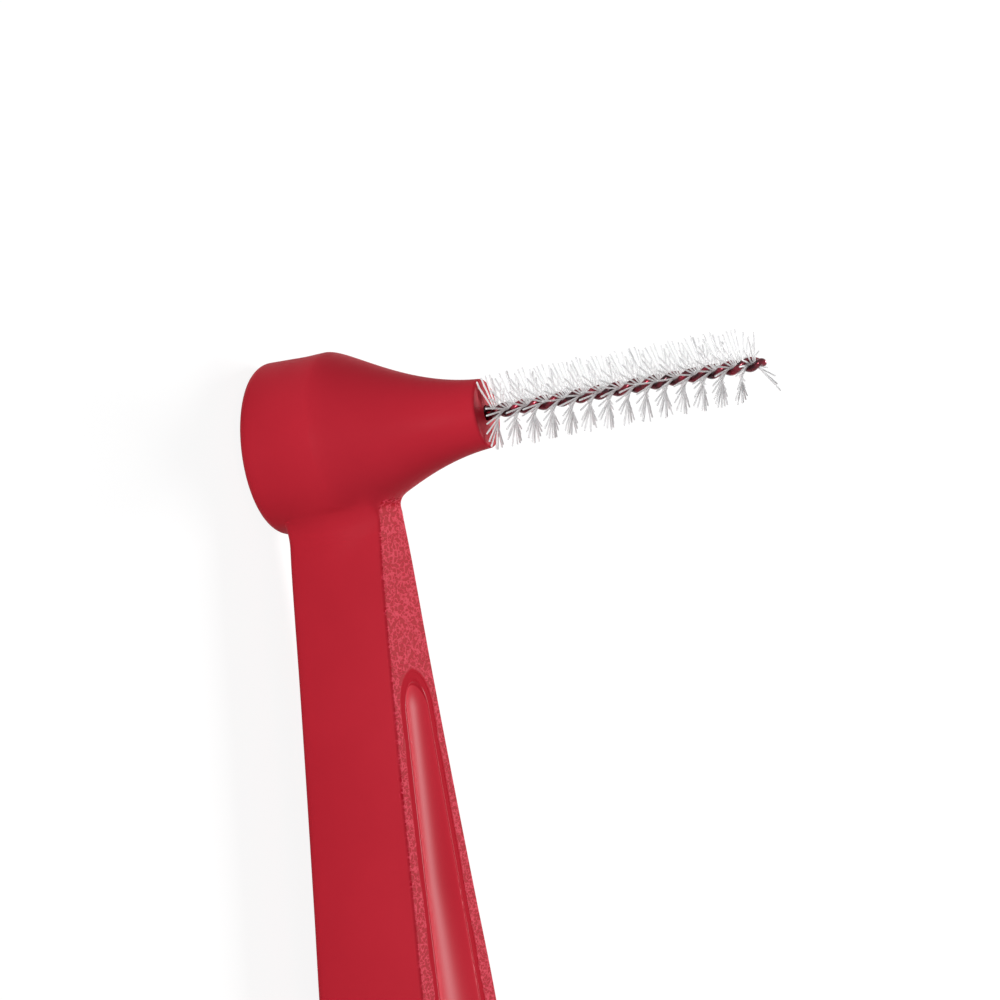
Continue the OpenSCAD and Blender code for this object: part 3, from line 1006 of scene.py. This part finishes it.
@dataclass
class Handle:
    """The whole red moulding: head, neck, shank, grip with its recess, and tail.

    A place named at is a distance from the brush axis. Rows are the sections in each run of the loft.
    """

    head: Head = field(default_factory=Head)
    recess: Recess = field(default_factory=Recess)
    finish: MouldedRed = field(default_factory=MouldedRed)
    front_set: float = 4.13
    neck_d: float = 3.62
    neck_w: float = 2.4
    neck_at: float = 2.7
    throat_w: float = 3.3
    throat_at: float = 5.0
    neck_fillet: float = 0.45
    neck_cheek: float = 2.0
    neck_sweep: float = 3.0
    neck_heel: float = 1.2
    neck_edge_r: float = 0.35
    neck_crown: float = 0.1
    taper_shares: Pair = (0.25, 0.75)
    shank_at: float = 21.0
    shank_w: float = 7.42
    shank_rise: float = 0.305
    shank_drop: float = 0.18
    front_bend_at: float = 4.0
    back_bend_at: float = 4.5
    length: float = 147.2
    grip_w: float = 9.6
    grip_d: float = 5.7
    grip_at: float = 40.0
    rest_at: float = 52.0
    waist_w: float = 8.0
    waist_d: float = 5.0
    waist_at: float = 92.0
    tail_w: float = 8.8
    tail_d: float = 4.6
    tail_at: float = 128.0
    tail_round: float = 4.6
    tail_edge: float = 1.4
    end_share: float = 0.94
    end_angle: float = 80.0
    front_edge_r: float = 0.14
    back_edge_r: float = 1.1
    side_crown: float = 0.3
    root_share: float = 0.45
    foot_share: float = 0.61
    reach_share: float = 0.87
    edge_limit: float = 0.9
    crown_limit: float = 0.3
    edge_steps: int = 8
    crown_steps: int = 10
    front_steps: int = 14
    back_steps: int = 6
    run_rows: tuple[int, ...] = (40, 40, 44, 44)
    round_rows: int = 18
    pinch_rows: int = 8
    blend_widths: Triple = (0.8, 0.6, 0.45)
    blend_rounds: int = 8
    blend_pull: float = 0.5
    blend_floor: float = 1.1
    blend_weld: float = 0.004
    blend_sliver: float = 0.002
    grain_on_edge: float = 0.5
    face_skin: float = 0.02
    floor_room: float = 0.1
    mark_range: float = 1.0
    sharp: float = 35.0

    def __post_init__(self) -> None:
        """Places the brush axis and lays the stations."""
        self.axis_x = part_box("handle")[1].x / MM - self.length
        self.axis_z = self.head.reach()
        LOG.info("brush axis at %.3f, %.3f mm", self.axis_x, self.axis_z)
        tilt = math.radians(self.head.tilt)
        under = self.head.radius_at(self.front_set) * math.cos(tilt) + self.front_set * math.sin(tilt)
        self.front_fillet_at = under + self.foot_share * self.neck_fillet
        self.fillet_in = self.front_fillet_at - self.reach_share * self.neck_fillet
        self.sweep_at = self.head.aside() + self.side_run(self.neck_sweep, self.head.barrel_r)
        front, low = self.axis_z - self.front_set, self.axis_z - self.front_set - self.neck_d
        taper = tuple((self.throat_at + s * (self.shank_at - self.throat_at),
                       self.throat_w + s * (self.shank_w - self.throat_w)) for s in self.taper_shares)
        self.width = Stations((
            (self.neck_at, self.neck_w), (self.throat_at, self.throat_w), *taper,
            (self.shank_at, self.shank_w), (self.grip_at, self.grip_w), (self.waist_at, self.waist_w),
            (self.tail_at, self.tail_w), (self.length, self.end_share * self.tail_w)))
        self.front = Stations((
            (self.neck_at, front), (self.front_bend_at, front), (self.shank_at, front + self.shank_rise),
            (self.grip_at, self.grip_d), (self.waist_at, self.waist_d), (self.tail_at, self.tail_d),
            (self.length, self.end_share * self.tail_d)))
        self.back = Stations((
            (self.neck_at, low), (self.back_bend_at, low), (self.shank_at, low - self.shank_drop),
            (self.rest_at, 0.0), (self.length, 0.0)))
        self.back_edge, self.crown = (
            Stations(((self.neck_at, neck), (self.shank_at, neck), (self.grip_at, grip), (self.length, grip)))
            for neck, grip in ((self.neck_edge_r, self.back_edge_r), (self.neck_crown, self.side_crown)))

    def axis(self) -> Matrix:
        """Returns the place of the snout's end, with Z towards the tip."""
        tilted = Matrix.Rotation(-math.radians(self.head.tilt), 4, "Y")
        return Matrix.Translation((self.axis_x, 0, self.axis_z)) @ tilted

    def flare(self, inside: float) -> float:
        """Returns how far the front fillet has spread at a distance past its start."""
        return self.neck_fillet - math.sqrt(self.neck_fillet ** 2 - inside ** 2)

    def side_fillet_r(self, up: float) -> float:
        """Sizes the fillets between head and sides.

        Args:
            up: share up a side, from the back to the front.

        Returns:
            The fillet's radius there.
        """
        if up < 0.5:
            return self.neck_heel + (self.neck_sweep - self.neck_heel) * ease(2 * up)
        return self.neck_sweep + (self.neck_cheek - self.neck_sweep) * ease(2 * up - 1)

    def side_run(self, radius: float, head_r: float) -> float:
        """Returns how far a side fillet runs down the handle from the middle of a head of that radius."""
        return math.sqrt(max(0.0, (head_r + radius) ** 2 - (self.neck_w / 2 + radius) ** 2))

    def side_flare(self, up: float, z: float, at: float) -> float:
        """Spreads a side where it runs into the head.

        Args:
            up: share up the side, from the back to the front.
            z: height of that place.
            at: distance from the brush axis.

        Returns:
            How far the fillet has spread there.
        """
        radius, head_r = self.side_fillet_r(up), self.head.radius_at(self.axis_z - z)
        run = self.side_run(radius, head_r)
        inside = min(run * radius / (head_r + radius), max(0.0, self.head.aside() + run - at))
        return radius - math.sqrt(radius ** 2 - inside ** 2)

    def front_turn(self, at: float) -> float:
        """Returns how far the front fillet has turned at a place, from 0 to 1."""
        return clamp((self.front_fillet_at - at) / (self.reach_share * self.neck_fillet))

    def end_draw(self, at: float, span: float) -> float:
        """Returns how far the end, rounded over a span, has drawn in at a place, from 1 down."""
        reach = clamp((at - self.length + span) / span)
        return math.sqrt(1 - (math.sin(math.radians(self.end_angle)) * reach) ** 2)

    def half_width(self, at: float) -> float:
        """Returns half the handle's width at a place."""
        return self.width.at(at) / 2 * self.end_draw(at, self.tail_round)

    def front_half(self, at: float) -> float:
        """Returns the half width of the grained face, which takes in a part of its rounded edge."""
        hw = self.half_width(at)
        return hw - min(self.crown.at(at), self.crown_limit * hw) - self.grain_on_edge * self.front_edge_r

    def ring(self, at: float) -> list[Vector]:
        """Draws the handle's section.

        Args:
            at: distance from the brush axis.

        Returns:
            The section's points, all round.
        """
        hw = self.half_width(at)
        pinch = self.tail_edge * (1 - self.end_draw(at, self.tail_edge))
        back, front = self.back.at(at) + pinch, self.front.at(at) - pinch
        crown = min(self.crown.at(at), self.crown_limit * hw)
        limit = self.edge_limit * min(hw - crown, (front - back) / 2)
        turn = self.front_turn(at)
        back_r = min(self.back_edge.at(at), limit)
        front_r = min(self.front_edge_r, limit) * (1 - turn) + limit * turn
        high = front + self.flare(self.reach_share * self.neck_fillet * turn) - front_r
        low = back + back_r
        side = []
        for i in range(self.crown_steps + 1):
            up = i / self.crown_steps
            z = low + up * (high - low)
            side.append((hw + self.side_flare(up, z, at) - crown * (2 * up - 1) ** 2, z))
        half = (arc((side[0][0] - back_r, low), back_r, -90, 0, self.edge_steps) + side[1:-1]
                + arc((side[-1][0] - front_r, high), front_r, 0, 90, self.edge_steps))
        top_y, top_z = half[-1]
        half += [(top_y * (1 - i / self.front_steps), top_z) for i in range(1, self.front_steps)]
        start_y, start_z = half[0]
        half = [(start_y * i / self.back_steps, start_z) for i in range(1, self.back_steps)] + half
        left = [(-y, z) for y, z in reversed(half)]
        return [Vector((self.axis_x + at, y, z)) for y, z in [(0.0, back), *half, (0.0, top_z), *left]]

    def places(self) -> list[float]:
        """Spaces the sections, closer where the shape turns.

        Returns:
            Their distances from the brush axis, in order.
        """
        tail, edge = self.length - self.tail_round, self.length - self.tail_edge
        full = math.radians(self.end_angle)
        round_end = {tail + self.tail_round * math.sin(full * i / self.round_rows) / math.sin(full)
                     for i in range(self.round_rows + 1)}
        round_end |= {edge + self.tail_edge * i / self.pinch_rows for i in range(1, self.pinch_rows)}
        stops = (self.fillet_in, self.sweep_at, self.shank_at, self.rest_at, tail)
        runs = [start + (end - start) * i / count
                for start, end, count in zip(stops, stops[1:], self.run_rows) for i in range(count)]
        return [self.root_share * self.neck_at, *runs, *sorted(round_end)]

    def soften_junction(self, piece: bpy.types.Object, head: BVHTree, body: BVHTree) -> None:
        """Smooths the moulding where the neck runs into the head, so that no crease is left.

        Args:
            piece: the joined moulding.
            head: the head before it was joined.
            body: the handle before it was joined.
        """
        bm = bmesh.new()
        bm.from_mesh(piece.data)
        bmesh.ops.remove_doubles(bm, verts=bm.verts, dist=self.blend_weld)
        bmesh.ops.dissolve_degenerate(bm, edges=bm.edges, dist=self.blend_sliver)
        floor = self.back.at(self.neck_at) + self.blend_floor * self.neck_edge_r
        for width in self.blend_widths:
            near = [v for v in bm.verts if v.co.z > floor
                    and head.find_nearest(v.co, width)[0] and body.find_nearest(v.co, width)[0]]
            for _ in range(self.blend_rounds):
                bmesh.ops.smooth_vert(bm, verts=near, factor=self.blend_pull, use_axis_x=True,
                                      use_axis_y=True, use_axis_z=True)
        bm.to_mesh(piece.data)
        bm.free()

    def mark_grain(self, piece: bpy.types.Object) -> None:
        """Stores how far each point lies inside the grained face and inside the recess's dish.

        Args:
            piece: the finished moulding, in millimetres.
        """
        recess, far = self.recess, self.mark_range
        grained, dished = [], []
        for vert in piece.data.vertices:
            at, y = vert.co.x - self.axis_x, abs(vert.co.y)
            below = self.front.at(at) - vert.co.z
            outside = recess.outside(at, y) if recess.start - far < at < recess.end + far else far
            margin = min(self.front_half(at) - y, at - self.fillet_in, outside - recess.grain_gap)
            if below > self.face_skin:
                margin = min(margin, self.grain_on_edge * self.front_edge_r - below)
            grained.append(max(-far, min(far, margin)))
            in_dish = below < recess.depth + self.floor_room
            dished.append(max(-far, -outside - recess.band) if in_dish else -far)
        for name, values in ((GRAIN_EDGE, grained), (DISH_EDGE, dished)):
            piece.data.attributes.new(name, "FLOAT", "POINT").data.foreach_set("value", values)

    def build(self) -> bpy.types.Object:
        """Joins and carves the moulding.

        Returns:
            The finished piece.
        """
        bm = bmesh.new()
        loft(bm, (self.ring(at) for at in self.places()))
        piece = loose_object(bm, "handle_moulding")
        head = self.head.build(self.axis())
        trees = []
        for source in (head, piece):
            copy = bmesh.new()
            copy.from_mesh(source.data)
            trees.append(BVHTree.FromBMesh(copy))
            copy.free()
        combine(piece, head, Cut.JOIN)
        self.soften_junction(piece, *trees)
        combine(piece, self.recess.build(self.front, self.axis_x), Cut.CARVE)
        combine(piece, self.head.bore(self.axis()), Cut.CARVE)
        self.mark_grain(piece)
        return settle(piece, self.finish, ("handle",), self.sharp)


# Stem and filaments


@dataclass
class Twist:
    """The double helix that wire, skin and filaments share."""

    pitch: float = 1.44
    turn: float = 10.0
    leg_offset: float = 0.15
    anchor_l: float = 5.2
    tip: float = 10.43
    fold_h: float = 0.17
    per_turn: int = 36
    fold_steps: int = 28

    def angle(self, z: float) -> float:
        """Returns the legs' angle about the brush axis at a distance from the snout's end, in radians."""
        return math.radians(self.turn - 360 * z / self.pitch)

    def spun(self, across: float, along: float, z: float) -> Vector:
        """Turns a point of the legs' plane to its place about the axis."""
        a = self.angle(z)
        return Vector((across * math.cos(a), across * math.sin(a), along))

    def route(self) -> list[tuple[Vector, Vector]]:
        """Draws the wire's centre line, up one leg, round the fold and back.

        Returns:
            Its points, each with the way out of the twist.
        """
        count = math.ceil(self.per_turn * (self.anchor_l + self.tip) / self.pitch)
        leg = [(self.leg_offset, -self.anchor_l + (self.anchor_l + self.tip) * i / count, 1.0, 0.0)
               for i in range(count)]
        fold = []
        for i in range(self.fold_steps + 1):
            a = math.pi * i / self.fold_steps
            fold.append((self.leg_offset * math.cos(a), self.tip + self.fold_h * math.sin(a),
                         self.fold_h * math.cos(a), self.leg_offset * math.sin(a)))
        back = [(-x, z, -1.0, 0.0) for x, z, _, _ in reversed(leg)]
        return [(self.spun(x, z, z), self.spun(ox, oz, z)) for x, z, ox, oz in leg + fold + back]

    def rings(self, radius: float, sides: int) -> list[list[Vector]]:
        """Draws round sections along the wire's route.

        Args:
            radius: the sections' radius.
            sides: points to a section.

        Returns:
            The sections in order.
        """
        route = self.route()
        rings = []
        for i, (point, out) in enumerate(route):
            ahead = (route[min(i + 1, len(route) - 1)][0] - route[max(i - 1, 0)][0]).normalized()
            side = ahead.cross(out).normalized()
            rings.append(round_section(point, side.cross(ahead), side, radius, sides))
        return rings


@dataclass
class Stem:
    """One steel wire folded and twisted, in its thin coloured skin, about the brush axis."""

    twist: Twist
    axis: Matrix
    wire_r: float = 0.085
    fit: float = 0.004
    wall: float = 0.036
    sides: int = 14
    steel: DrawnSteel = field(default_factory=DrawnSteel)
    skin: DarkSkin = field(default_factory=DarkSkin)

    def build_wire(self) -> bpy.types.Object:
        """Builds the steel wire.

        Returns:
            The finished piece.
        """
        bm = bmesh.new()
        loft(bm, self.twist.rings(self.wire_r, self.sides))
        return settle(loose_object(bm, "folded_wire", self.axis), self.steel, ("stem_wire",))

    def build_skin(self) -> bpy.types.Object:
        """Builds the hollow skin.

        Returns:
            The finished piece.
        """
        bm = bmesh.new()
        inner_r = self.wire_r + self.fit
        shells = [loft(bm, self.twist.rings(r, self.sides), closed=False)
                  for r in (inner_r + self.wall, inner_r)]
        for ends in ([s.rim(s.first) for s in shells], [s.rim(s.verts) for s in shells]):
            bmesh.ops.bridge_loops(bm, edges=ends[0] + ends[1])
        return settle(loose_object(bm, "wire_skin", self.axis), self.skin, ("stem_coating",))


@dataclass
class Tufts:
    """The filaments of the brush, nipped between the two legs, one group to each half turn.

    A jitter is the most that a filament differs from its even place. Rows are a filament's sections, as
    shares of the way to its end.
    """

    twist: Twist
    axis: Matrix
    count: int = 15
    start: float = 0.25
    brush_l: float = 10.1
    brush_r: float = 1.4
    shortest: float = 0.93
    per_tuft: int = 12
    filament_r: float = 0.034
    lean: float = 10.0
    tip_lean: float = -16.0
    tip_power: float = 1.5
    splay: float = 5.0
    bend: float = 0.04
    sway: float = 0.03
    place_jitter: float = 0.15
    turn_jitter: float = 1.5
    lean_jitter: float = 1.0
    nip_w: float = 0.2
    nip_t: float = 0.04
    clear_of_head: float = 0.06
    rows: tuple[float, ...] = (0.0, 0.28, 0.55, 0.8, 0.985, 1.0)
    end_share: float = 0.6
    look_ahead: float = 0.02
    sides: int = 5
    slice_steps: int = 10
    sharp: float = 50.0
    seed: int = 700
    finish: ClearNylon = field(default_factory=ClearNylon)

    def slice_ring(self, z: float) -> list[Vector]:
        """Draws the section of the nipped layer.

        Args:
            z: distance from the snout's end.

        Returns:
            Its four corners.
        """
        a = self.twist.angle(z) + math.pi / 2
        u, v = Vector((math.cos(a), math.sin(a), 0)), Vector((-math.sin(a), math.cos(a), 0))
        return [i * self.nip_w / 2 * u + j * self.nip_t / 2 * v + Vector((0, 0, z))
                for i, j in ((1, 1), (-1, 1), (-1, -1), (1, -1))]

    def strand(self, bm: bmesh.types.BMesh, z: float, angle: float, lean: float,
               draw: random.Random) -> None:
        """Grows one filament.

        Args:
            bm: mesh that takes it.
            z: distance of its root from the snout's end.
            angle: the way it points about the axis, in radians.
            lean: how far it leans back towards the head, in degrees.
            draw: source of its small differences.
        """
        out = Vector((math.cos(angle), math.sin(angle), 0))
        side = Vector((-math.sin(angle), math.cos(angle), 0))
        root = self.nip_w / 2 - self.filament_r
        reach = self.brush_r * draw.uniform(self.shortest, 1.0)
        bend, sway = draw.uniform(-self.bend, self.bend), draw.uniform(-self.sway, self.sway)
        slope = math.tan(math.radians(lean))

        def centre(r: float) -> Vector:
            """Returns the filament's centre line at a distance from the axis."""
            height = z - slope * (r - root) + bend * r * r
            return out * r + side * (sway * r * r) + Vector((0, 0, max(height, self.clear_of_head)))

        rings = []
        for row in self.rows:
            r = root + (reach - root) * row
            ahead = (centre(r + self.look_ahead) - centre(r - self.look_ahead)).normalized()
            across = ahead.cross(Vector((0, 0, 1))).normalized()
            thick = self.filament_r * (self.end_share if row == self.rows[-1] else 1.0)
            rings.append(round_section(centre(r), across, across.cross(ahead), thick, self.sides))
        loft(bm, rings)

    def build(self, number: int) -> bpy.types.Object:
        """Builds one half turn of filaments with its slice of the nipped layer.

        Args:
            number: which half turn, from 0 at the head.

        Returns:
            The finished piece.
        """
        draw = random.Random(self.seed + number)
        length = self.brush_l / self.count
        start = self.start + number * length
        gap = length / self.per_tuft
        bm = bmesh.new()
        loft(bm, (self.slice_ring(start + length * i / self.slice_steps)
                  for i in range(self.slice_steps + 1)))
        for i in range(self.per_tuft):
            z = start + (i + 0.5 + draw.uniform(-self.place_jitter, self.place_jitter)) * gap
            for way in (math.pi / 2, -math.pi / 2):
                jitter = math.radians(draw.uniform(-self.turn_jitter, self.turn_jitter))
                angle = self.twist.angle(z) + way + jitter
                fan = math.sin(2 * angle) * (1 + math.cos(angle)) / 2
                lean = self.lean - self.splay * fan + draw.uniform(-self.lean_jitter, self.lean_jitter)
                if number == self.count - 1:
                    lean += (self.tip_lean - self.lean) * (i / (self.per_tuft - 1)) ** self.tip_power
                self.strand(bm, z, angle, lean, draw)
        piece = loose_object(bm, f"filaments_{number + 1:02d}", self.axis)
        return settle(piece, self.finish, (f"filament_tuft_{number + 1:02d}",), self.sharp)


# Studio


@dataclass(frozen=True)
class Lamp:
    """One large soft lamp, placed in metres from the snout's end."""

    name: str
    place: Triple
    size: float
    power: float

    def hang(self, target: Vector) -> bpy.types.Object:
        """Hangs the lamp and turns it to its target.

        Args:
            target: the snout's end, in metres.

        Returns:
            The lamp.
        """
        data = bpy.data.lights.new(self.name, "AREA")
        data.shape = "SQUARE"
        data.size = self.size
        data.energy = self.power
        lamp = linked(self.name, data)
        lamp.location = target + Vector(self.place)
        lamp.rotation_mode = "QUATERNION"
        lamp.rotation_quaternion = (target - lamp.location).to_track_quat("-Z", "Y")
        return lamp


@dataclass
class Studio:
    """Floor, lamps, pale surroundings and the camera. The floor and the clip distances are in metres."""

    floor_half: float = 4.0
    ambient: float = 0.18
    turn: float = 21.0
    roll: float = 7.15
    distance: float = 300.0
    pixels_per_mm: float = 28.0
    anchor_px: Pair = (487.0, 413.0)
    frame_px: float = 1000.0
    sensor: float = 36.0
    clip: Pair = (0.002, 20.0)
    lamps: tuple[Lamp, ...] = (
        Lamp("key_lamp", (0.0, -0.80, 0.10), 0.18, 4.0),
        Lamp("back_lamp", (0.0, 0.635, 0.496), 0.28, 7.4),
    )

    def lay_floor(self) -> None:
        """Lays the floor that the handle rests on, and gives it its paint."""
        bm = bmesh.new()
        bmesh.ops.create_grid(bm, x_segments=1, y_segments=1, size=self.floor_half)
        floor = loose_object(bm, "floor")
        floor.data.materials.append(PaleFloor().material())
        floor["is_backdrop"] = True

    def set_surroundings(self) -> None:
        """Lights the scene evenly from all round, and shows white behind it."""
        sheet = NodeSheet(bpy.data.worlds.new("surroundings"), "ShaderNodeOutputWorld")
        lit, seen = (sheet.add("ShaderNodeBackground", {"Color": WHITE, "Strength": strength})
                     for strength in (self.ambient, 1.0))
        bpy.context.scene.world = sheet.lit_and_seen(lit, seen)

    def set_camera(self, aim: Vector) -> None:
        """Sets the camera where the photograph was taken from.

        Args:
            aim: the snout's end in metres, which the photograph shows at anchor_px.
        """
        turn, roll = math.radians(self.turn), math.radians(self.roll)
        towards = Vector((0, -math.cos(turn), math.sin(turn)))
        away = Vector((0, math.sin(turn), math.cos(turn)))
        right = Vector((1, 0, 0)) * math.sin(roll) + away * math.cos(roll)
        down = Vector((1, 0, 0)) * math.cos(roll) - away * math.sin(roll)
        half = self.frame_px / 2
        over, under = (half - px for px in self.anchor_px)
        shift = (right * over + down * under) / self.pixels_per_mm
        data = bpy.data.cameras.new("camera")
        data.sensor_fit = "HORIZONTAL"
        data.sensor_width = self.sensor
        data.lens = self.pixels_per_mm * self.distance / self.frame_px * self.sensor
        data.clip_start, data.clip_end = self.clip
        camera = linked("camera", data)
        turned = Matrix((right, -down, towards)).transposed().to_4x4()
        camera.matrix_world = Matrix.Translation(aim + (shift + towards * self.distance) * MM) @ turned
        bpy.context.scene.camera = camera

    def build(self, aim: Vector) -> None:
        """Sets the studio up round the object.

        Args:
            aim: the snout's end, in metres.
        """
        self.lay_floor()
        self.set_surroundings()
        self.set_camera(aim)
        for lamp in self.lamps:
            lamp.hang(aim)
        bpy.context.scene.view_settings.view_transform = "Standard"


def write_sizes() -> None:
    """Writes the CAD model's box and the visual model's box."""
    boxes = {"cad": CAD_BOX, "visual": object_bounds()}
    for name, (low, high) in boxes.items():
        LOG.info("%s box %s to %s mm", name, *([round(v / MM, 3) for v in corner] for corner in (low, high)))


def main() -> None:
    """Builds the whole brush and its studio."""
    logging.basicConfig(level=logging.INFO, format="%(name)s: %(message)s")
    handle = Handle()
    handle.build()
    axis = handle.axis()
    twist = Twist()
    stem = Stem(twist, axis)
    stem.build_wire()
    stem.build_skin()
    tufts = Tufts(twist, axis)
    for number in range(tufts.count):
        tufts.build(number)
    Studio().build(axis.translation * MM)
    write_sizes()


if __name__ == "__main__":
    main()
